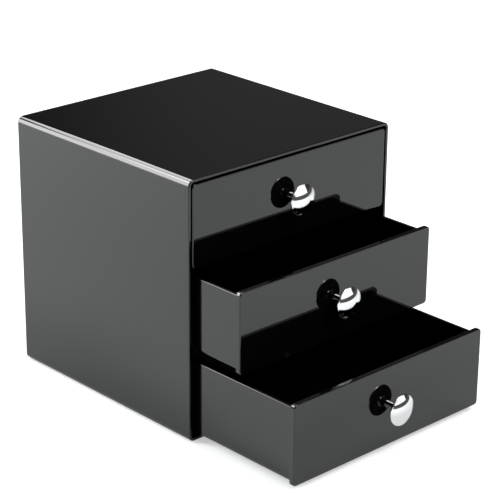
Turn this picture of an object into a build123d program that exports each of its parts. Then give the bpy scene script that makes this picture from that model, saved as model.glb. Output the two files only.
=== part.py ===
from build123d import *
import os

# Sizes in millimetres. The front faces -Y, X runs to the right and the base rests on Z = 0.

# Case
CASE_WIDTH = 165.0
CASE_DEPTH = 160.0
CASE_HEIGHT = 165.0
CASE_WALL = 2.0
CASE_INNER_RADIUS = 2.0
CASE_EDGE_SHARE = 0.3
BACK_THICKNESS = 2.0
BACK_REBATE_SHARE = 0.5
BACK_EDGE_SHARE = 0.3

# Drawers, from the lowest bay up, and how far each one stands open
DRAWER_OPENINGS = {"bottom": 85.0, "middle": 40.0, "top": 0.0}
FRONT_THICKNESS = 3.2
FRONT_SIDE_GAP = 1.0
FRONT_END_GAP = 1.2
FRONT_CORNER_RADIUS = 2.5
FRONT_EDGE_SHARE = 0.25
FRONT_REAR_SHARE = 0.5
GROOVE_SHARE = 0.35
TRAY_WALL = 2.2
TRAY_SIDE_STEP = 2.1
TRAY_RIM_STEP = 3.1
TRAY_BASE_STEP = 0.4
TRAY_REAR_GAP = 3.0
TRAY_INNER_RADIUS = 1.2
TRAY_RIM_SHARE = 0.15

# Runners
LEDGE_REACH = 3.0
GUIDE_HEIGHT = 10.0
RUNNING_CLEARANCE = 0.2
GUIDE_CLEARANCE = 0.4
STOP_CLEARANCE = 0.3
RUNNER_CHAMFER_SHARE = 1.1

# Knob with its screw and washer
KNOB_DIAMETER = 19.6
KNOB_PROJECTION = 12.4
KNOB_STEM_DIAMETER = 4.8
KNOB_FLARE = 1.8
KNOB_EDGE = 0.7
KNOB_RIM_SHARE = 0.71
SCREW_DIAMETER = 3.0
SCREW_FIT = 0.1
SCREW_ENGAGEMENT = 6.0
SCREW_END_GAP = 0.8
SCREW_HEAD_DIAMETER = 5.6
SCREW_HEAD_HEIGHT = 2.4
SCREW_HEAD_ROUND_SHARE = 0.4
RECESS_LENGTH_SHARE = 0.55
RECESS_WIDTH_SHARE = 0.16
RECESS_DEPTH_SHARE = 0.45
WASHER_DIAMETER = 9.0
WASHER_THICKNESS = 0.8
HOLE_CLEARANCE = 0.4

# Shared fits
BOND_GAP = 0.1
CUT_OVERRUN = 5.0

# Sizes that follow from the ones above
case_radius = CASE_INNER_RADIUS + CASE_WALL
bay_width = CASE_WIDTH - 2 * CASE_WALL
bay_pitch = (CASE_HEIGHT - 2 * CASE_WALL) / len(DRAWER_OPENINGS)
rebate = CASE_WALL * BACK_REBATE_SHARE
rear_lip = CASE_WALL - rebate
back_face = CASE_DEPTH - BACK_THICKNESS

front_width = bay_width - 2 * FRONT_SIDE_GAP
front_height = bay_pitch - 2 * FRONT_END_GAP
groove_depth = FRONT_THICKNESS * GROOVE_SHARE
knob_height = FRONT_END_GAP + front_height / 2

tray_width = front_width - 2 * TRAY_SIDE_STEP
tray_base = FRONT_END_GAP + TRAY_BASE_STEP
tray_height = front_height - TRAY_BASE_STEP - TRAY_RIM_STEP
tray_start = FRONT_THICKNESS - groove_depth
tray_length = back_face - TRAY_REAR_GAP - tray_start
tray_radius = TRAY_INNER_RADIUS + TRAY_WALL

tray_gap = FRONT_SIDE_GAP + TRAY_SIDE_STEP
ledge_width = tray_gap + LEDGE_REACH
ledge_top = tray_base - RUNNING_CLEARANCE
guide_width = tray_gap - GUIDE_CLEARANCE
runner_chamfer = CASE_INNER_RADIUS * RUNNER_CHAMFER_SHARE
runner_start = FRONT_THICKNESS + STOP_CLEARANCE

screw_hole = SCREW_DIAMETER + HOLE_CLEARANCE
washer_end = FRONT_THICKNESS + WASHER_THICKNESS
screw_end = washer_end + SCREW_HEAD_HEIGHT


def at_depth(start):
    """A drawing plane square to Y at this distance behind the front, with X to the right and Z up."""
    return Plane(origin=(0, start, 0), x_dir=(1, 0, 0), z_dir=(0, -1, 0))


def bar(sketch, start, length):
    """Pulls a sketch of X and Z straight back along Y."""
    return extrude(at_depth(start) * sketch, amount=-length)


def standing_block(width, height, base, radius):
    """A rounded rectangle of X and Z, centred across and standing on the given height."""
    return Pos(0, base + height / 2) * RectangleRounded(width, height, radius)


def rod(diameter, start, end):
    """A round pin on the knob's axis from one depth to another."""
    return bar(Pos(0, knob_height) * Circle(diameter / 2), start, end - start)


def case_shell():
    """The tube-shaped case, open at the front, with a step at the rear for the back panel."""
    outside = bar(standing_block(CASE_WIDTH, CASE_HEIGHT, 0, case_radius), 0, CASE_DEPTH)
    inside_height = CASE_HEIGHT - 2 * CASE_WALL
    opening = standing_block(bay_width, inside_height, CASE_WALL, CASE_INNER_RADIUS)
    shell = outside - bar(opening, -CUT_OVERRUN, CASE_DEPTH + 2 * CUT_OVERRUN)
    seat = standing_block(bay_width + 2 * rebate, inside_height + 2 * rebate, rear_lip,
                          CASE_INNER_RADIUS + rebate)
    shell -= bar(seat, back_face, BACK_THICKNESS + CUT_OVERRUN)
    front_rim = shell.faces().sort_by(Axis.Y)[0]
    shell = fillet(front_rim.edges(), CASE_WALL * CASE_EDGE_SHARE)
    rear_rim = shell.faces().sort_by(Axis.Y)[-1]
    return fillet(rear_rim.edges(), rear_lip * CASE_EDGE_SHARE)


def back_panel():
    """The plate bonded into the step at the rear of the case, with its outer edge rounded."""
    inset = rear_lip + BOND_GAP
    plate = standing_block(CASE_WIDTH - 2 * inset, CASE_HEIGHT - 2 * inset, inset, case_radius - inset)
    panel = bar(plate, back_face, BACK_THICKNESS)
    return fillet(panel.faces().sort_by(Axis.Y)[-1].edges(), BACK_THICKNESS * BACK_EDGE_SHARE)


def runner():
    """The right-hand runner of a bay: a ledge under the tray and a guide beside it."""
    wall = bay_width / 2
    corners = [
        (wall, GUIDE_HEIGHT),
        (wall - guide_width, GUIDE_HEIGHT),
        (wall - guide_width, ledge_top),
        (wall - ledge_width, ledge_top),
        (wall - ledge_width, 0),
        (wall - runner_chamfer, 0),
        (wall, runner_chamfer),
    ]
    return bar(make_face(Polyline(*corners, close=True)), runner_start, back_face - runner_start)


def tray_section(grow):
    """The end of the tray's floor and sides, with its walls grown all round by a fit."""
    outer_radius = tray_radius + grow
    wall = TRAY_WALL + grow
    rim = tray_base + tray_height + grow
    outside = standing_block(tray_width + 2 * grow, 2 * tray_height, tray_base - grow, outer_radius)
    inside = standing_block(tray_width - 2 * wall, 2 * tray_height, tray_base + wall, TRAY_INNER_RADIUS - grow)
    above = Pos(0, rim + tray_height) * Rectangle(front_width, 2 * tray_height)
    return outside - inside - above


def tray_block(wall, front, top, radius):
    """A block a wall thinner than the tray, with its base, its sides and its rear corners rounded."""
    length = tray_length - wall + front
    height = tray_height - wall + top
    centre = (0, tray_start - front + length / 2, tray_base + wall + height / 2)
    block = Pos(*centre) * Box(tray_width - 2 * wall, length, height)
    base = block.faces().sort_by(Axis.Z)[0]
    rear = block.faces().sort_by(Axis.Y)[-1]
    return fillet(base.edges().sort_by(Axis.Y)[1:] + rear.edges().filter_by(Axis.Z), radius)


def drawer_tray():
    """The floor, sides and back of a drawer; its front end is let into the drawer front."""
    tray = tray_block(0, 0, 0, tray_radius)
    tray -= tray_block(TRAY_WALL, CUT_OVERRUN, CUT_OVERRUN, TRAY_INNER_RADIUS)
    rim = tray.faces().sort_by(Axis.Z)[-1]
    front_ends = rim.edges().sort_by(Axis.Y)[:2]
    return fillet(rim.edges() - front_ends, TRAY_WALL * TRAY_RIM_SHARE)


def drawer_front():
    """The front plate, with a groove at the rear for the tray and a hole for the knob's screw."""
    face = standing_block(front_width, front_height, FRONT_END_GAP, FRONT_CORNER_RADIUS)
    plate = bar(face, 0, FRONT_THICKNESS)
    plate = fillet(plate.faces().sort_by(Axis.Y)[0].edges(), FRONT_THICKNESS * FRONT_EDGE_SHARE)
    plate = fillet(plate.faces().sort_by(Axis.Y)[-1].edges(), TRAY_BASE_STEP * FRONT_REAR_SHARE)
    plate -= bar(tray_section(BOND_GAP), tray_start, groove_depth + CUT_OVERRUN)
    return plate - rod(screw_hole, -CUT_OVERRUN, FRONT_THICKNESS + CUT_OVERRUN)


def knob():
    """The mushroom knob, turned about its axis, with a threaded blind hole at the foot."""
    stem = KNOB_STEM_DIAMETER / 2
    rim = KNOB_DIAMETER / 2
    lip = rim - KNOB_EDGE
    rim_at = -KNOB_PROJECTION * KNOB_RIM_SHARE
    back_at = rim_at + KNOB_EDGE
    stem_end = back_at + KNOB_FLARE
    tip = (0, -KNOB_PROJECTION)
    dome_edge = (lip, rim_at - KNOB_EDGE)
    dome = TangentArc(tip, dome_edge, tangent=(1, 0))
    outline = [
        Line((0, 0), (stem, 0)),
        Line((stem, 0), (stem, stem_end)),
        Spline((stem, stem_end), (stem + KNOB_FLARE, back_at), tangents=((0, -1), (1, 0))),
        Line((stem + KNOB_FLARE, back_at), (lip, back_at)),
        Spline((lip, back_at), (rim, rim_at), tangents=((1, 0), (0, -1))),
        Spline((rim, rim_at), dome_edge, tangents=((0, -1), -(dome % 1))),
        dome,
        Line(tip, (0, 0)),
    ]
    turned = Pos(0, 0, knob_height) * revolve(make_face(outline), Axis.Y)
    return turned - rod(SCREW_DIAMETER, -SCREW_ENGAGEMENT - SCREW_END_GAP, CUT_OVERRUN)


def knob_washer():
    """The flat washer between the screw's head and the drawer front."""
    return rod(WASHER_DIAMETER, FRONT_THICKNESS, washer_end) - rod(screw_hole, 0, washer_end + CUT_OVERRUN)


def knob_screw():
    """The round-headed screw with a cross recess that holds the knob from inside."""
    head = rod(SCREW_HEAD_DIAMETER, washer_end, screw_end)
    head = fillet(head.faces().sort_by(Axis.Y)[-1].edges(), SCREW_HEAD_HEIGHT * SCREW_HEAD_ROUND_SHARE)
    shank = rod(SCREW_DIAMETER - SCREW_FIT, -SCREW_ENGAGEMENT, washer_end)
    length = SCREW_HEAD_DIAMETER * RECESS_LENGTH_SHARE
    width = SCREW_HEAD_DIAMETER * RECESS_WIDTH_SHARE
    depth = SCREW_HEAD_HEIGHT * RECESS_DEPTH_SHARE
    cross = Rectangle(length, width) + Rectangle(width, length)
    recess = bar(Pos(0, knob_height) * cross, screw_end - depth, depth + CUT_OVERRUN)
    return head + shank - recess


front_plane = -CASE_DEPTH / 2
right_runner = runner()
pieces = {
    "case_shell": Pos(0, front_plane, 0) * case_shell(),
    "back_panel": Pos(0, front_plane, 0) * back_panel(),
}
drawer_pieces = {
    "drawer_tray": drawer_tray(),
    "drawer_front": drawer_front(),
    "knob": knob(),
    "knob_screw": knob_screw(),
    "knob_washer": knob_washer(),
}
for level, (name, opening) in enumerate(DRAWER_OPENINGS.items()):
    bay_floor = CASE_WALL + level * bay_pitch
    pieces["runner_right_" + name] = Pos(0, front_plane, bay_floor) * right_runner
    pieces["runner_left_" + name] = Pos(0, front_plane, bay_floor) * mirror(right_runner, Plane.YZ)
    for kind, shape in drawer_pieces.items():
        pieces[kind + "_" + name] = Pos(0, front_plane - opening, bay_floor) * shape

os.makedirs("parts", exist_ok=True)
for name, shape in pieces.items():
    export_step(shape, "parts/" + name + ".step")
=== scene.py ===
"""Finishes, turned knobs and studio stage for a vanity organizer with three drawers."""
import math

import bmesh
import bpy
from mathutils import Matrix, Vector


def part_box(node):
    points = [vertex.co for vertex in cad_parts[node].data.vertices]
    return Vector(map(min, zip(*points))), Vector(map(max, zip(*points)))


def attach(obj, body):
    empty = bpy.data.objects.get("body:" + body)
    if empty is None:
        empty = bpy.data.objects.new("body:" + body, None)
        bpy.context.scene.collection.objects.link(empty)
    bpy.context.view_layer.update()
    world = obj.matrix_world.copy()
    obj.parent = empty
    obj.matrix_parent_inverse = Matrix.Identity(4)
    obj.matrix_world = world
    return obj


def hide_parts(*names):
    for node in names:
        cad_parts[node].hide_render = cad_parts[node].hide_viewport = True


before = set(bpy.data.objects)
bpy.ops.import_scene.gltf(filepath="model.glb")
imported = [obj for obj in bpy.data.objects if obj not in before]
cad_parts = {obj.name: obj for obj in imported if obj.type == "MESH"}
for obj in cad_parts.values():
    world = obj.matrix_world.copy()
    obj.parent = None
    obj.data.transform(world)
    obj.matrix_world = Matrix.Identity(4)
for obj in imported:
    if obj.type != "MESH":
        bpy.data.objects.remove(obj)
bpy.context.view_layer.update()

bl_info = {
    "name": "Vanity Organizer Dressing",
    "version": (1, 0, 0),
    "blender": (4, 5, 0),
    "location": "3D View > Sidebar > Organizer",
    "description": "Gives a three-drawer vanity organizer its finishes, turned knobs and studio stage",
    "category": "Object",
}

LEVELS = ("top", "middle", "bottom")
MM = 0.001


def node_size(name):
    """Width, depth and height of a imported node."""
    low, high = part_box(name)
    return high - low


knob_box = node_size("knob_top")


# Sizes and colours that a user would change

class OrganizerFinish(bpy.types.PropertyGroup):
    """Colours and gloss of the plastic and the metal"""
    plastic_colour: bpy.props.FloatVectorProperty(
        name="Plastic", description="Colour of the case, the trays and the drawer fronts",
        subtype="COLOR", size=4, min=0.0, max=1.0, default=(0.0017, 0.0017, 0.0019, 1.0))
    runner_colour: bpy.props.FloatVectorProperty(
        name="Runners", description="Colour of the runners inside the case",
        subtype="COLOR", size=4, min=0.0, max=1.0, default=(0.0045, 0.0045, 0.0048, 1.0))
    chrome_colour: bpy.props.FloatVectorProperty(
        name="Chrome", description="Colour of the plated knobs",
        subtype="COLOR", size=4, min=0.0, max=1.0, default=(0.80, 0.80, 0.81, 1.0))
    # Dark colour painted as shade on the back of a knob's head
    back_shade_colour: bpy.props.FloatVectorProperty(
        name="Painted Back Shade", description="Colour of the thin plating on the back of a knob's head",
        subtype="COLOR", size=4, min=0.0, max=1.0, default=(0.12, 0.12, 0.125, 1.0))
    zinc_colour: bpy.props.FloatVectorProperty(
        name="Zinc", description="Colour of the plated screws and washers",
        subtype="COLOR", size=4, min=0.0, max=1.0, default=(0.56, 0.57, 0.58, 1.0))
    plastic_roughness: bpy.props.FloatProperty(
        name="Plastic Roughness", description="Roughness of the polished plastic where it is clean",
        subtype="FACTOR", min=0.0, max=1.0, default=0.025)
    wave_depth: bpy.props.FloatProperty(
        name="Moulding Waves", description="Depth of the slow waves that moulding leaves in the walls",
        subtype="DISTANCE", unit="LENGTH", min=0.0, max=0.001, precision=6, default=0.00006)
    smudge: bpy.props.FloatProperty(
        name="Smudges", description="How much handling dulls the polish",
        subtype="FACTOR", min=0.0, max=1.0, default=0.04)


class OrganizerKnob(bpy.types.PropertyGroup):
    """Outline of the turned knob"""
    diameter: bpy.props.FloatProperty(
        name="Diameter", description="Widest part of the knob's head",
        subtype="DISTANCE", unit="LENGTH", min=0.005, max=0.05, precision=5, default=knob_box.x)
    projection: bpy.props.FloatProperty(
        name="Projection", description="How far the knob stands out from the drawer front",
        subtype="DISTANCE", unit="LENGTH", min=0.005, max=0.05, precision=5, default=knob_box.y)
    stem: bpy.props.FloatProperty(
        name="Stem Diameter", description="Narrowest part of the knob",
        subtype="DISTANCE", unit="LENGTH", min=0.002, max=0.02, precision=5, default=4.8 * MM)
    flare: bpy.props.FloatProperty(
        name="Flare", description="Rounding between the stem and the underside of the head",
        subtype="DISTANCE", unit="LENGTH", min=0.0001, max=0.005, precision=5, default=1.8 * MM)
    edge: bpy.props.FloatProperty(
        name="Edge", description="Rounding of the head's rim",
        subtype="DISTANCE", unit="LENGTH", min=0.0001, max=0.003, precision=5, default=0.7 * MM)
    rim_share: bpy.props.FloatProperty(
        name="Rim Place", description="Place of the widest part along the projection",
        subtype="FACTOR", min=0.0, max=1.0, default=0.71)
    bore: bpy.props.FloatProperty(
        name="Bore Diameter", description="Blind hole for the knob's screw",
        subtype="DISTANCE", unit="LENGTH", min=0.001, max=0.01, precision=5, default=3.0 * MM)
    bore_depth: bpy.props.FloatProperty(
        name="Bore Depth", description="Depth of the blind hole",
        subtype="DISTANCE", unit="LENGTH", min=0.001, max=0.03, precision=5, default=6.8 * MM)
    segments: bpy.props.IntProperty(
        name="Segments", description="Faces round the knob", min=24, max=256, default=144)


class OrganizerStage(bpy.types.PropertyGroup):
    """Floor, light and camera"""
    floor_size: bpy.props.FloatProperty(
        name="Floor Size", description="Edge length of the pale floor",
        subtype="DISTANCE", unit="LENGTH", min=1.0, max=100.0, default=40.0)
    floor_front: bpy.props.FloatProperty(
        name="Floor Front", description="How far the floor reaches in front of the object",
        subtype="DISTANCE", unit="LENGTH", min=0.5, max=50.0, default=1.0)
    floor_colour: bpy.props.FloatVectorProperty(
        name="Floor", description="Colour of the floor",
        subtype="COLOR", size=4, min=0.0, max=1.0, default=(0.74, 0.765, 0.765, 1.0))
    floor_lift: bpy.props.FloatProperty(
        name="Floor Lift", description="White added to the floor where it is seen",
        subtype="FACTOR", min=0.0, max=1.0, default=0.50)
    floor_gleam: bpy.props.FloatProperty(
        name="Floor Gleam", description="White added to the floor where it is mirrored",
        subtype="FACTOR", min=0.0, max=1.0, default=0.19)
    sky_low: bpy.props.FloatProperty(
        name="Room Low", description="Brightness of the room at the horizon",
        subtype="FACTOR", min=0.0, max=1.0, default=0.096)
    sky_high: bpy.props.FloatProperty(
        name="Room High", description="Brightness of the room above",
        subtype="FACTOR", min=0.0, max=1.0, default=0.035)
    wall_glow: bpy.props.FloatProperty(
        name="Wall Glow", description="Brightness that the wall behind the object adds to the room",
        subtype="FACTOR", min=0.0, max=1.0, default=0.066)
    aim: bpy.props.FloatVectorProperty(
        name="Aim", description="Point that the camera looks at",
        subtype="TRANSLATION", unit="LENGTH", size=3, default=(0.0411, 0.0, 0.0669))
    azimuth: bpy.props.FloatProperty(
        name="Azimuth", description="Camera's turn to the left of the front",
        subtype="ANGLE", unit="ROTATION", default=math.radians(43.36))
    elevation: bpy.props.FloatProperty(
        name="Elevation", description="Camera's angle above the floor",
        subtype="ANGLE", unit="ROTATION", default=math.radians(21.69))
    roll: bpy.props.FloatProperty(
        name="Roll", description="Camera's tilt about its own axis",
        subtype="ANGLE", unit="ROTATION", default=math.radians(0.54))
    distance: bpy.props.FloatProperty(
        name="Distance", description="Camera's distance from its aim",
        subtype="DISTANCE", unit="LENGTH", min=0.1, max=20.0, default=1.232)
    lens: bpy.props.FloatProperty(
        name="Focal Length", description="Camera's focal length",
        subtype="DISTANCE_CAMERA", unit="CAMERA", min=10.0, max=400.0, default=136.1)


# Stage: the floor's sheen, the heights of direction between which the room darkens, and the film's width
FLOOR_ROUGHNESS = 0.9
FLOOR_SPECULAR = 0.1
ROOM_FALL = (0.10, 0.24)
SENSOR_WIDTH = 36.0
WHITE = (1.0, 1.0, 1.0, 1.0)

# Direction of the pale wall behind the object, the cosines between which it fades in, and its top edge
WALL_WAY = (0.722, 0.619, 0.309)
WALL_EDGE = (0.9724, 0.9969)
WALL_TOP = (0.338, 0.356)

# Softboxes: place, point that each faces, width, height and radiance
SOFTBOXES = {
    "side_softbox": ((-0.94, 1.04, 0.65), (-0.08, 0.0, 0.16), 0.64, 1.25, 9.0),
    "back_softbox": ((-0.10, 1.10, 1.23), (-0.02, 0.0, 0.16), 1.60, 0.38, 6.3),
    "front_softbox": ((0.32, -1.16, 0.64), (0.0, -0.12, 0.12), 1.52, 0.74, 1.3),
    "key_softbox": ((0.29, -0.905, 1.10), (0.0, -0.12, 0.10), 0.35, 0.35, 16.0),
    "top_softbox": ((0.25, -0.25, 1.9), (0.0, -0.05, 0.08), 1.6, 1.6, 2.6),
}


# Node helpers

def add(tree, kind, **settings):
    """Adds a node; settings that are not the node's own are the values of its inputs."""
    made = tree.nodes.new(kind)
    for key, value in settings.items():
        if hasattr(made, key):
            setattr(made, key, value)
        else:
            made.inputs[key.replace("_", " ")].default_value = value
    return made


def join(tree, source, target):
    """Links an output to an input; a node stands for its first socket."""
    outlet = source.outputs[0] if isinstance(source, bpy.types.Node) else source
    inlet = target.inputs[0] if isinstance(target, bpy.types.Node) else target
    tree.links.new(outlet, inlet)


def feed(tree, value, inlet):
    """Sets a number or a tuple on an input, or links a socket or a node to it."""
    if isinstance(value, (int, float, tuple)):
        inlet.default_value = value
    else:
        join(tree, value, inlet)


def math_node(tree, operation, *values):
    """A math node whose inputs are sockets or numbers."""
    made = add(tree, "ShaderNodeMath", operation=operation)
    for slot, value in enumerate(values):
        feed(tree, value, made.inputs[slot])
    return made.outputs[0]


def point_node(tree, x=0.0, y=0.0, z=0.0):
    """A vector put together from sockets or numbers."""
    made = add(tree, "ShaderNodeCombineXYZ")
    for slot, value in enumerate((x, y, z)):
        feed(tree, value, made.inputs[slot])
    return made.outputs[0]


def vector_node(tree, operation, *values):
    """A vector math node whose vectors are sockets or tuples."""
    made = add(tree, "ShaderNodeVectorMath", operation=operation)
    for slot, value in enumerate(values):
        feed(tree, value, made.inputs[slot])
    return made


def ramp(tree, value, limits, first=0.0, last=1.0):
    """A smooth ramp from the first number to the last while a socket passes between two limits."""
    made = add(tree, "ShaderNodeMapRange", interpolation_type="SMOOTHSTEP")
    for key, number in zip(("From Min", "From Max", "To Min", "To Max"), (*limits, first, last)):
        made.inputs[key].default_value = number
    join(tree, value, made.inputs["Value"])
    return made.outputs["Result"]


def set_inputs(node, values):
    """Sets a node's inputs by their names."""
    for key, value in values.items():
        node.inputs[key].default_value = value


def socket(tree, name, kind, out=False):
    """Adds a named input or output to a node group."""
    tree.interface.new_socket(name=name, in_out="OUTPUT" if out else "INPUT", socket_type=kind)


# Shared surface effects: noise between which smudges fade in, share of clean cells, roughness of a speck
SMUDGE_FADE = (0.46, 0.74)
CLEAN_SHARE = 0.8
SPECK_DULLING = 0.3


def handling_marks():
    """Cloudy smudges and sparse specks of dust, as two masks from 0 to 1."""
    tree = bpy.data.node_groups.get("Handling marks")
    if tree:
        return tree
    tree = bpy.data.node_groups.new("Handling marks", "ShaderNodeTree")
    for name in ("Smudge Scale", "Speck Scale", "Speck Size"):
        socket(tree, name, "NodeSocketFloat")
    for name in ("Smudge", "Specks"):
        socket(tree, name, "NodeSocketFloat", out=True)
    given = add(tree, "NodeGroupInput")
    result = add(tree, "NodeGroupOutput")
    place = add(tree, "ShaderNodeTexCoord").outputs["Object"]
    clouds = add(tree, "ShaderNodeTexNoise", Detail=5.0, Roughness=0.62, Distortion=0.6)
    join(tree, place, clouds.inputs["Vector"])
    join(tree, given.outputs["Smudge Scale"], clouds.inputs["Scale"])
    join(tree, ramp(tree, clouds.outputs["Fac"], SMUDGE_FADE), result.inputs["Smudge"])
    cells = add(tree, "ShaderNodeTexVoronoi", feature="F1", Randomness=1.0)
    join(tree, place, cells.inputs["Vector"])
    join(tree, given.outputs["Speck Scale"], cells.inputs["Scale"])
    near = math_node(tree, "LESS_THAN", cells.outputs["Distance"], given.outputs["Speck Size"])
    shade = add(tree, "ShaderNodeSeparateColor")
    join(tree, cells.outputs["Color"], shade.inputs["Color"])
    few = math_node(tree, "GREATER_THAN", shade.outputs["Red"], CLEAN_SHARE)
    join(tree, math_node(tree, "MULTIPLY", near, few), result.inputs["Specks"])
    return tree


def moulded_relief():
    """Height of the slow waves and the fine grain that a mould leaves."""
    tree = bpy.data.node_groups.get("Moulded relief")
    if tree:
        return tree
    tree = bpy.data.node_groups.new("Moulded relief", "ShaderNodeTree")
    for name in ("Wave Scale", "Wave Depth", "Grain Scale", "Grain Depth"):
        socket(tree, name, "NodeSocketFloat")
    socket(tree, "Height", "NodeSocketFloat", out=True)
    given = add(tree, "NodeGroupInput")
    result = add(tree, "NodeGroupOutput")
    place = add(tree, "ShaderNodeTexCoord").outputs["Object"]
    heights = []
    for scale, depth, detail in (("Wave Scale", "Wave Depth", 1.0), ("Grain Scale", "Grain Depth", 2.0)):
        pattern = add(tree, "ShaderNodeTexNoise", Detail=detail)
        join(tree, place, pattern.inputs["Vector"])
        join(tree, given.outputs[scale], pattern.inputs["Scale"])
        heights.append(math_node(tree, "MULTIPLY", pattern.outputs["Fac"], given.outputs[depth]))
    join(tree, math_node(tree, "ADD", *heights), result.inputs["Height"])
    return tree


def new_surface(name):
    """A material with only its shader and its output."""
    material = bpy.data.materials.new(name)
    material.use_nodes = True
    tree = material.node_tree
    tree.nodes.clear()
    shader = add(tree, "ShaderNodeBsdfPrincipled")
    join(tree, shader, add(tree, "ShaderNodeOutputMaterial").inputs["Surface"])
    return material, tree, shader


def marked_surface(name, colour, roughness, smudge, dust, marks, relief, metal=0.0, ior=1.5):
    """A finish that smudges dull and dust tints, with marks and moulding relief at its own scales."""
    material, tree, shader = new_surface(name)
    set_inputs(shader, {"Metallic": metal, "IOR": ior})
    soil = add(tree, "ShaderNodeGroup", node_tree=handling_marks())
    set_inputs(soil, marks)
    tint = add(tree, "ShaderNodeMix", data_type="RGBA", blend_type="MIX")
    tint.inputs["A"].default_value = colour
    lighter = [channel + dust for channel in colour[:3]]
    tint.inputs["B"].default_value = (*lighter, 1.0)
    join(tree, soil.outputs["Specks"], tint.inputs["Factor"])
    join(tree, tint.outputs["Result"], shader.inputs["Base Color"])
    dulled = math_node(tree, "MULTIPLY_ADD", soil.outputs["Smudge"], smudge, roughness)
    dusty = math_node(tree, "MULTIPLY_ADD", soil.outputs["Specks"], SPECK_DULLING, dulled)
    join(tree, dusty, shader.inputs["Roughness"])
    shape = add(tree, "ShaderNodeGroup", node_tree=moulded_relief())
    set_inputs(shape, relief)
    bump = add(tree, "ShaderNodeBump", Strength=1.0, Distance=1.0)
    join(tree, shape.outputs["Height"], bump.inputs["Height"])
    join(tree, bump.outputs["Normal"], shader.inputs["Normal"])
    return material


def gloss_black(finish):
    """Polished black plastic of the case, the trays and the fronts."""
    made = bpy.data.materials.get("gloss_black_plastic")
    return made or marked_surface(
        "gloss_black_plastic", finish.plastic_colour,
        roughness=finish.plastic_roughness, smudge=finish.smudge, dust=0.02, ior=1.59,
        marks={"Smudge Scale": 26.0, "Speck Scale": 150.0, "Speck Size": 0.028},
        relief={"Wave Scale": 11.0, "Wave Depth": finish.wave_depth,
                "Grain Scale": 700.0, "Grain Depth": 2e-8})


def runner_black(finish):
    """Duller black plastic of the runners, rubbed by the trays."""
    made = bpy.data.materials.get("runner_black_plastic")
    return made or marked_surface(
        "runner_black_plastic", finish.runner_colour,
        roughness=0.16, smudge=0.2, dust=0.03, ior=1.54,
        marks={"Smudge Scale": 60.0, "Speck Scale": 200.0, "Speck Size": 0.05},
        relief={"Wave Scale": 18.0, "Wave Depth": finish.wave_depth,
                "Grain Scale": 1500.0, "Grain Depth": 3e-6})


# Attribute that masks the dark colour painted as shade on the back of a knob's head, and the facings
# between which it fades in
PAINTED_SHADE_MARK = "painted_back_shade"
BACK_SHADE_FACING = (0.80, 0.99)


def polished_chrome(finish):
    """Bright plating of the knobs."""
    made = bpy.data.materials.get("polished_chrome")
    if made:
        return made
    made = marked_surface(
        "polished_chrome", finish.chrome_colour,
        roughness=0.035, smudge=0.05, dust=-0.2, metal=1.0,
        marks={"Smudge Scale": 130.0, "Speck Scale": 900.0, "Speck Size": 0.04},
        relief={"Wave Scale": 90.0, "Wave Depth": 4e-6, "Grain Scale": 2500.0, "Grain Depth": 1e-8})
    # Painted shade: the back of the head, which faces the drawer, gets a dark colour in place of the bright
    # plating
    tree = made.node_tree
    base = next(node for node in tree.nodes if node.type == "BSDF_PRINCIPLED").inputs["Base Color"]
    bright = base.links[0].from_socket
    behind = add(tree, "ShaderNodeAttribute", attribute_name=PAINTED_SHADE_MARK)
    shaded = add(tree, "ShaderNodeMix", data_type="RGBA", blend_type="MIX")
    join(tree, behind.outputs["Fac"], shaded.inputs["Factor"])
    join(tree, bright, shaded.inputs["A"])
    shaded.inputs["B"].default_value = finish.back_shade_colour
    join(tree, shaded.outputs["Result"], base)
    return made


def zinc_plate(finish):
    """Bluish plating of the screws and the washers."""
    made = bpy.data.materials.get("zinc_plate")
    return made or marked_surface(
        "zinc_plate", finish.zinc_colour,
        roughness=0.26, smudge=0.22, dust=-0.25, metal=1.0,
        marks={"Smudge Scale": 420.0, "Speck Scale": 1600.0, "Speck Size": 0.12},
        relief={"Wave Scale": 500.0, "Wave Depth": 1e-5, "Grain Scale": 6000.0, "Grain Depth": 4e-6})


def dress(names, material):
    """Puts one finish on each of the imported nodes."""
    for name in names:
        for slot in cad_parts[name].material_slots:
            slot.material = material


# Turned knobs: steps along each kind of segment, a handle's share of the span, and the mesh tolerances
EASED_STEPS = 24
ARC_STEPS = 48
HANDLE_SHARE = 1.0 / 3.0
OUTWARD, FORWARD = (1.0, 0.0, 0.0), (0.0, -1.0, 0.0)
WELD_GAP = 2e-6
SAME_POINT = 1e-7
NO_LENGTH = 1e-8
SHARP_ANGLE = math.radians(40)


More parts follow.
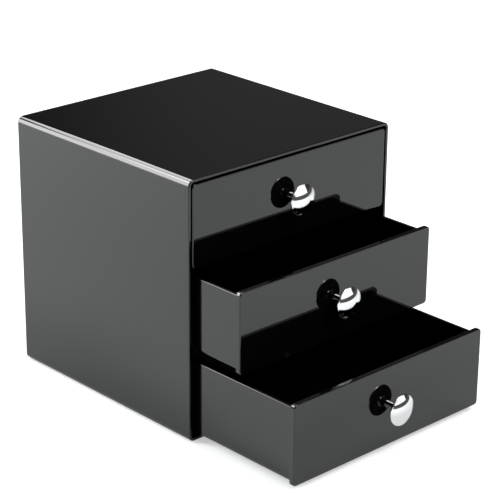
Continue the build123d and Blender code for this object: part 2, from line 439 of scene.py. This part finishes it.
def revolve_tree():
    """A node group that turns a profile of radius and depth about the Y axis."""
    tree = bpy.data.node_groups.get("Revolve profile")
    if tree:
        return tree
    tree = bpy.data.node_groups.new("Revolve profile", "GeometryNodeTree")
    socket(tree, "Profile", "NodeSocketGeometry")
    socket(tree, "Segments", "NodeSocketInt")
    socket(tree, "Mesh", "NodeSocketGeometry", out=True)
    given = add(tree, "NodeGroupInput")
    result = add(tree, "NodeGroupOutput")
    points = add(tree, "GeometryNodeCurveToPoints", mode="EVALUATED")
    join(tree, given.outputs["Profile"], points.inputs["Curve"])
    size = add(tree, "GeometryNodeAttributeDomainSize", component="POINTCLOUD")
    join(tree, points.outputs["Points"], size.inputs["Geometry"])
    grid = add(tree, "GeometryNodeMeshGrid", Size_X=1.0, Size_Y=1.0)
    join(tree, math_node(tree, "ADD", given.outputs["Segments"], 1.0), grid.inputs["Vertices X"])
    join(tree, size.outputs["Point Count"], grid.inputs["Vertices Y"])
    place = add(tree, "GeometryNodeInputPosition")
    flat = add(tree, "ShaderNodeSeparateXYZ")
    join(tree, place, flat)
    angle = math_node(tree, "MULTIPLY", flat.outputs["X"], math.tau)
    last = math_node(tree, "SUBTRACT", size.outputs["Point Count"], 1.0)
    row = math_node(tree, "MULTIPLY", math_node(tree, "ADD", flat.outputs["Y"], 0.5), last)
    sample = add(tree, "GeometryNodeSampleIndex", data_type="FLOAT_VECTOR", domain="POINT")
    join(tree, points.outputs["Points"], sample.inputs["Geometry"])
    join(tree, add(tree, "GeometryNodeInputPosition"), sample.inputs["Value"])
    join(tree, math_node(tree, "ROUND", row), sample.inputs["Index"])
    outline = add(tree, "ShaderNodeSeparateXYZ")
    join(tree, sample.outputs["Value"], outline)
    across = math_node(tree, "MULTIPLY", outline.outputs["X"], math_node(tree, "COSINE", angle))
    up = math_node(tree, "MULTIPLY", outline.outputs["X"], math_node(tree, "SINE", angle))
    moved = add(tree, "GeometryNodeSetPosition")
    join(tree, grid.outputs["Mesh"], moved.inputs["Geometry"])
    join(tree, point_node(tree, across, outline.outputs["Y"], up), moved.inputs["Position"])
    join(tree, moved.outputs["Geometry"], result.inputs["Mesh"])
    return tree


def eased_segment(tree, start, end, leaving, arriving):
    """A curve between two profile points that leaves one way and arrives another, as vectors or sockets."""
    whole = vector_node(tree, "ABSOLUTE", vector_node(tree, "SUBTRACT", end, start))
    span = vector_node(tree, "DOT_PRODUCT", whole, (HANDLE_SHARE, HANDLE_SHARE, 0.0))
    curve = add(tree, "GeometryNodeCurvePrimitiveBezierSegment", mode="OFFSET", Resolution=EASED_STEPS)
    join(tree, start, curve.inputs["Start"])
    join(tree, end, curve.inputs["End"])
    for way, sense, inlet in ((leaving, 1.0, "Start Handle"), (arriving, -1.0, "End Handle")):
        pull = vector_node(tree, "SCALE", way)
        join(tree, math_node(tree, "MULTIPLY", span.outputs["Value"], sense), pull.inputs["Scale"])
        join(tree, pull, curve.inputs[inlet])
    return curve.outputs["Curve"]


def straight_segment(tree, start, end):
    """A straight line between two profile points."""
    line = add(tree, "GeometryNodeCurvePrimitiveLine")
    join(tree, start, line.inputs["Start"])
    join(tree, end, line.inputs["End"])
    return line.outputs["Curve"]


def arc_segment(tree, start, middle, end):
    """A circular arc through three profile points."""
    arc = add(tree, "GeometryNodeCurveArc", mode="POINTS", Resolution=ARC_STEPS)
    for point, inlet in ((start, "Start"), (middle, "Middle"), (end, "End")):
        join(tree, point, arc.inputs[inlet])
    return arc.outputs["Curve"]


def knob_tree():
    """The turned knob: its outline follows the sizes given, and it is turned, welded and set in place."""
    tree = bpy.data.node_groups.new("Turned knob", "GeometryNodeTree")
    tree.is_modifier = True
    for name in ("Diameter", "Projection", "Stem Diameter", "Flare", "Edge", "Rim Place",
                 "Bore Diameter", "Bore Depth"):
        socket(tree, name, "NodeSocketFloat")
    socket(tree, "Segments", "NodeSocketInt")
    socket(tree, "Seat", "NodeSocketVector")
    socket(tree, "Material", "NodeSocketMaterial")
    socket(tree, "Geometry", "NodeSocketGeometry", out=True)
    given = add(tree, "NodeGroupInput").outputs
    result = add(tree, "NodeGroupOutput")

    def calc(operation, *values):
        return math_node(tree, operation, *values)

    def half(name):
        return calc("MULTIPLY", given[name], 0.5)

    bottom = calc("MULTIPLY", given["Bore Depth"], -1.0)
    tip_at = calc("MULTIPLY", given["Projection"], -1.0)
    rim_at = calc("MULTIPLY", tip_at, given["Rim Place"])
    back_at = calc("ADD", rim_at, given["Edge"])
    dome_at = calc("SUBTRACT", rim_at, given["Edge"])
    lip = calc("SUBTRACT", half("Diameter"), given["Edge"])
    # Slope of the chord from the dome's edge to its tip gives the rest of its circle
    slope = calc("DIVIDE", calc("SUBTRACT", dome_at, tip_at), lip)
    square = calc("MULTIPLY_ADD", slope, slope, 1.0)
    root = calc("SQRT", square)
    sink = calc("DIVIDE", calc("SUBTRACT", square, root), calc("MULTIPLY", slope, 2.0))
    half_way = point_node(tree, calc("MULTIPLY", calc("MULTIPLY", lip, root), 0.5),
                          calc("MULTIPLY_ADD", lip, sink, tip_at))
    across = calc("SUBTRACT", square, 2.0)
    ahead = calc("MULTIPLY", slope, -2.0)
    whole = calc("MULTIPLY", calc("ADD", across, ahead), -1.0)
    dome_way = point_node(tree, calc("DIVIDE", across, whole), calc("DIVIDE", ahead, whole))

    tip = point_node(tree, 0.0, tip_at)
    dome_edge = point_node(tree, lip, dome_at)
    rim = point_node(tree, half("Diameter"), rim_at)
    back_edge = point_node(tree, lip, back_at)
    back_root = point_node(tree, calc("ADD", half("Stem Diameter"), given["Flare"]), back_at)
    stem_end = point_node(tree, half("Stem Diameter"), calc("ADD", back_at, given["Flare"]))
    foot = point_node(tree, half("Stem Diameter"))
    mouth = point_node(tree, half("Bore Diameter"))
    corner = point_node(tree, half("Bore Diameter"), bottom)
    centre = point_node(tree, 0.0, bottom)
    outline = [
        straight_segment(tree, centre, corner),
        straight_segment(tree, corner, mouth),
        straight_segment(tree, mouth, foot),
        straight_segment(tree, foot, stem_end),
        eased_segment(tree, stem_end, back_root, FORWARD, OUTWARD),
        straight_segment(tree, back_root, back_edge),
        eased_segment(tree, back_edge, rim, OUTWARD, FORWARD),
        eased_segment(tree, rim, dome_edge, FORWARD, dome_way),
        arc_segment(tree, dome_edge, half_way, tip),
    ]
    skins = add(tree, "GeometryNodeJoinGeometry")
    for profile in outline:
        turned = add(tree, "GeometryNodeGroup", node_tree=revolve_tree())
        join(tree, profile, turned.inputs["Profile"])
        join(tree, given["Segments"], turned.inputs["Segments"])
        join(tree, turned.outputs["Mesh"], skins.inputs["Geometry"])
    welded = add(tree, "GeometryNodeMergeByDistance", Distance=WELD_GAP)
    join(tree, skins, welded.inputs["Geometry"])
    seat = add(tree, "GeometryNodePoints")
    join(tree, given["Seat"], seat.inputs["Position"])
    placed = add(tree, "GeometryNodeInstanceOnPoints")
    join(tree, seat, placed.inputs["Points"])
    join(tree, welded, placed.inputs["Instance"])
    solid = add(tree, "GeometryNodeRealizeInstances")
    join(tree, placed.outputs["Instances"], solid.inputs["Geometry"])
    finished = add(tree, "GeometryNodeSetMaterial")
    join(tree, solid, finished.inputs["Geometry"])
    join(tree, given["Material"], finished.inputs["Material"])
    join(tree, finished, result.inputs["Geometry"])
    return tree


def mesh_from_tree(name, tree, values):
    """An object whose plain mesh is what the tree makes from these values."""
    made = bpy.data.objects.new(name, bpy.data.meshes.new(name))
    bpy.context.scene.collection.objects.link(made)
    modifier = made.modifiers.new(tree.name, "NODES")
    modifier.node_group = tree
    for item in tree.interface.items_tree:
        if item.in_out == "INPUT" and item.name in values:
            modifier[item.identifier] = values[item.name]
    ready = made.evaluated_get(bpy.context.evaluated_depsgraph_get())
    mesh = bpy.data.meshes.new_from_object(ready)
    made.modifiers.remove(modifier)
    spare, made.data = made.data, mesh
    bpy.data.meshes.remove(spare)
    mesh.name = name
    work = bmesh.new()
    work.from_mesh(mesh)
    bmesh.ops.remove_doubles(work, verts=work.verts, dist=SAME_POINT)
    bmesh.ops.dissolve_degenerate(work, edges=work.edges, dist=NO_LENGTH)
    bmesh.ops.recalc_face_normals(work, faces=work.faces)
    for face in work.faces:
        face.smooth = True
    work.to_mesh(mesh)
    work.free()
    mesh.set_sharp_from_angle(angle=SHARP_ANGLE)
    return made


def mark_painted_back_shade(piece):
    """Stores on each point how squarely it faces back, towards the drawer, as the mask for the painted
    shade on the back of the head.
    """
    low, high = BACK_SHADE_FACING
    shares = [min(max((point.normal.y - low) / (high - low), 0.0), 1.0) for point in piece.data.vertices]
    mark = piece.data.attributes.new(PAINTED_SHADE_MARK, "FLOAT", "POINT")
    mark.data.foreach_set("value", [share * share * (3.0 - 2.0 * share) for share in shares])


# Operators, one for each piece or group of like pieces

class ORGANIZER_OT_finish_case(bpy.types.Operator):
    """Finishes the case shell, the back panel and the runners"""
    bl_idname = "organizer.finish_case"
    bl_label = "Finish Case"

    def execute(self, context):
        finish = context.scene.organizer_finish
        dress(("case_shell", "back_panel"), gloss_black(finish))
        runners = [f"runner_{side}_{level}" for side in ("left", "right") for level in LEVELS]
        dress(runners, runner_black(finish))
        return {"FINISHED"}


class ORGANIZER_OT_finish_drawers(bpy.types.Operator):
    """Finishes the drawer trays and the drawer fronts"""
    bl_idname = "organizer.finish_drawers"
    bl_label = "Finish Drawers"

    def execute(self, context):
        drawers = [f"drawer_{kind}_{level}" for kind in ("tray", "front") for level in LEVELS]
        dress(drawers, gloss_black(context.scene.organizer_finish))
        return {"FINISHED"}


class ORGANIZER_OT_turn_knobs(bpy.types.Operator):
    """Turns one knob for each drawer"""
    bl_idname = "organizer.turn_knobs"
    bl_label = "Turn Knobs"

    def execute(self, context):
        knob = context.scene.organizer_knob
        tree = knob_tree()
        for level in LEVELS:
            low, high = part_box("knob_" + level)
            middle = (low + high) / 2
            turned = mesh_from_tree("turned_knob_" + level, tree, {
                "Diameter": knob.diameter,
                "Projection": knob.projection,
                "Stem Diameter": knob.stem,
                "Flare": knob.flare,
                "Edge": knob.edge,
                "Rim Place": knob.rim_share,
                "Bore Diameter": knob.bore,
                "Bore Depth": knob.bore_depth,
                "Segments": knob.segments,
                "Seat": (middle.x, high.y, middle.z),
                "Material": polished_chrome(context.scene.organizer_finish),
            })
            mark_painted_back_shade(turned)
            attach(turned, "drawer_" + level)
            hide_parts("knob_" + level)
        return {"FINISHED"}


class ORGANIZER_OT_finish_fasteners(bpy.types.Operator):
    """Finishes the knob screws and their washers"""
    bl_idname = "organizer.finish_fasteners"
    bl_label = "Finish Fasteners"

    def execute(self, context):
        fasteners = [f"knob_{kind}_{level}" for kind in ("screw", "washer") for level in LEVELS]
        dress(fasteners, zinc_plate(context.scene.organizer_finish))
        return {"FINISHED"}


class ORGANIZER_OT_set_stage(bpy.types.Operator):
    """Lays the floor, hangs the softboxes and sets up the room and the camera"""
    bl_idname = "organizer.set_stage"
    bl_label = "Set Stage"

    def execute(self, context):
        stage = context.scene.organizer_stage
        self.floor(context, stage)
        self.room(context, stage)
        for name, values in SOFTBOXES.items():
            self.softbox(context, name, *values)
        self.camera(context, stage)
        context.scene.view_settings.view_transform = "Standard"
        return {"FINISHED"}

    def floor(self, context, stage):
        """A pale floor with white added, by its own amounts, where it is seen and where it is mirrored."""
        half, front = stage.floor_size / 2, -stage.floor_front
        corners = [(-half, front, 0), (half, front, 0), (half, half, 0), (-half, half, 0)]
        mesh = bpy.data.meshes.new("studio_floor")
        mesh.from_pydata(corners, [], [(0, 1, 2, 3)])
        floor = bpy.data.objects.new("studio_floor", mesh)
        context.scene.collection.objects.link(floor)
        material, tree, shader = new_surface("pale_floor")
        set_inputs(shader, {"Base Color": stage.floor_colour, "Roughness": FLOOR_ROUGHNESS,
                            "Specular IOR Level": FLOOR_SPECULAR, "Emission Color": WHITE})
        rays = add(tree, "ShaderNodeLightPath").outputs
        seen = math_node(tree, "MULTIPLY", rays["Is Camera Ray"], stage.floor_lift)
        mirrored = math_node(tree, "MAXIMUM", rays["Is Glossy Ray"], rays["Is Transmission Ray"])
        white = math_node(tree, "MULTIPLY_ADD", mirrored, stage.floor_gleam, seen)
        join(tree, white, shader.inputs["Emission Strength"])
        mesh.materials.append(material)

    def room(self, context, stage):
        """A room that is white where it is seen, and dark with one pale wall where it is mirrored."""
        world = bpy.data.worlds.new("studio_room")
        world.use_nodes = True
        tree = world.node_tree
        tree.nodes.clear()
        way = add(tree, "ShaderNodeTexCoord").outputs["Generated"]
        height = add(tree, "ShaderNodeSeparateXYZ")
        join(tree, way, height)
        fall = ramp(tree, height.outputs["Z"], ROOM_FALL, stage.sky_low, stage.sky_high)
        # A paler stretch of wall behind the object, which its polished top mirrors
        towards = vector_node(tree, "DOT_PRODUCT", way, WALL_WAY)
        wall = ramp(tree, towards.outputs["Value"], WALL_EDGE, last=stage.wall_glow)
        below = ramp(tree, height.outputs["Z"], WALL_TOP, 1.0, 0.0)
        mirrored = math_node(tree, "MULTIPLY_ADD", wall, below, fall)
        seen = add(tree, "ShaderNodeLightPath").outputs["Is Camera Ray"]
        light = add(tree, "ShaderNodeBackground", Color=WHITE)
        join(tree, math_node(tree, "MAXIMUM", mirrored, seen), light.inputs["Strength"])
        join(tree, light, add(tree, "ShaderNodeOutputWorld").inputs["Surface"])
        context.scene.world = world

    def softbox(self, context, name, place, target, width, height, radiance):
        """An evenly bright rectangle that faces its target and is not seen itself."""
        data = bpy.data.lights.new(name, "AREA")
        data.shape = "RECTANGLE"
        data.size, data.size_y = width, height
        data.energy = radiance * width * height * math.pi
        lamp = bpy.data.objects.new(name, data)
        facing = (Vector(target) - Vector(place)).to_track_quat("-Z", "Y").to_matrix().to_4x4()
        lamp.matrix_world = Matrix.Translation(place) @ facing
        lamp.visible_camera = False
        context.scene.collection.objects.link(lamp)

    def camera(self, context, stage):
        """A camera that looks at its aim from the given turn, height and distance."""
        turn, lift, roll = stage.azimuth, stage.elevation, stage.roll
        ahead = Vector((math.sin(turn) * math.cos(lift), math.cos(turn) * math.cos(lift), -math.sin(lift)))
        level = Vector((math.cos(turn), -math.sin(turn), 0.0))
        upright = Vector((math.sin(turn) * math.sin(lift), math.cos(turn) * math.sin(lift), math.cos(lift)))
        right = math.cos(roll) * level + math.sin(roll) * upright
        up = math.cos(roll) * upright - math.sin(roll) * level
        data = bpy.data.cameras.new("photo_camera")
        data.lens = stage.lens
        data.sensor_width = SENSOR_WIDTH
        camera = bpy.data.objects.new("photo_camera", data)
        turned = Matrix((right, up, -ahead)).transposed().to_4x4()
        camera.matrix_world = Matrix.Translation(Vector(stage.aim) - ahead * stage.distance) @ turned
        context.scene.collection.objects.link(camera)
        context.scene.camera = camera


class ORGANIZER_PT_sidebar(bpy.types.Panel):
    """Lists the organizer's sizes, colours and steps"""
    bl_idname = "ORGANIZER_PT_sidebar"
    bl_label = "Vanity Organizer"
    bl_space_type = "VIEW_3D"
    bl_region_type = "UI"
    bl_category = "Organizer"

    def draw(self, context):
        for group in GROUPS:
            box = self.layout.box()
            values = getattr(context.scene, group)
            for key in values.bl_rna.properties.keys():
                if key not in {"rna_type", "name"}:
                    box.prop(values, key)
        for step in STEPS:
            self.layout.operator(step.bl_idname)


GROUPS = {
    "organizer_finish": OrganizerFinish,
    "organizer_knob": OrganizerKnob,
    "organizer_stage": OrganizerStage,
}
STEPS = (ORGANIZER_OT_finish_case, ORGANIZER_OT_finish_drawers, ORGANIZER_OT_turn_knobs,
         ORGANIZER_OT_finish_fasteners, ORGANIZER_OT_set_stage)


def register():
    for made in (*GROUPS.values(), *STEPS, ORGANIZER_PT_sidebar):
        bpy.utils.register_class(made)
    for name, group in GROUPS.items():
        setattr(bpy.types.Scene, name, bpy.props.PointerProperty(type=group))


def unregister():
    for name in GROUPS:
        delattr(bpy.types.Scene, name)
    for made in (ORGANIZER_PT_sidebar, *reversed(STEPS), *reversed(GROUPS.values())):
        bpy.utils.unregister_class(made)


def main():
    register()
    bpy.ops.organizer.finish_case()
    bpy.ops.organizer.finish_drawers()
    bpy.ops.organizer.turn_knobs()
    bpy.ops.organizer.finish_fasteners()
    bpy.ops.organizer.set_stage()


if __name__ == "__main__":
    main()
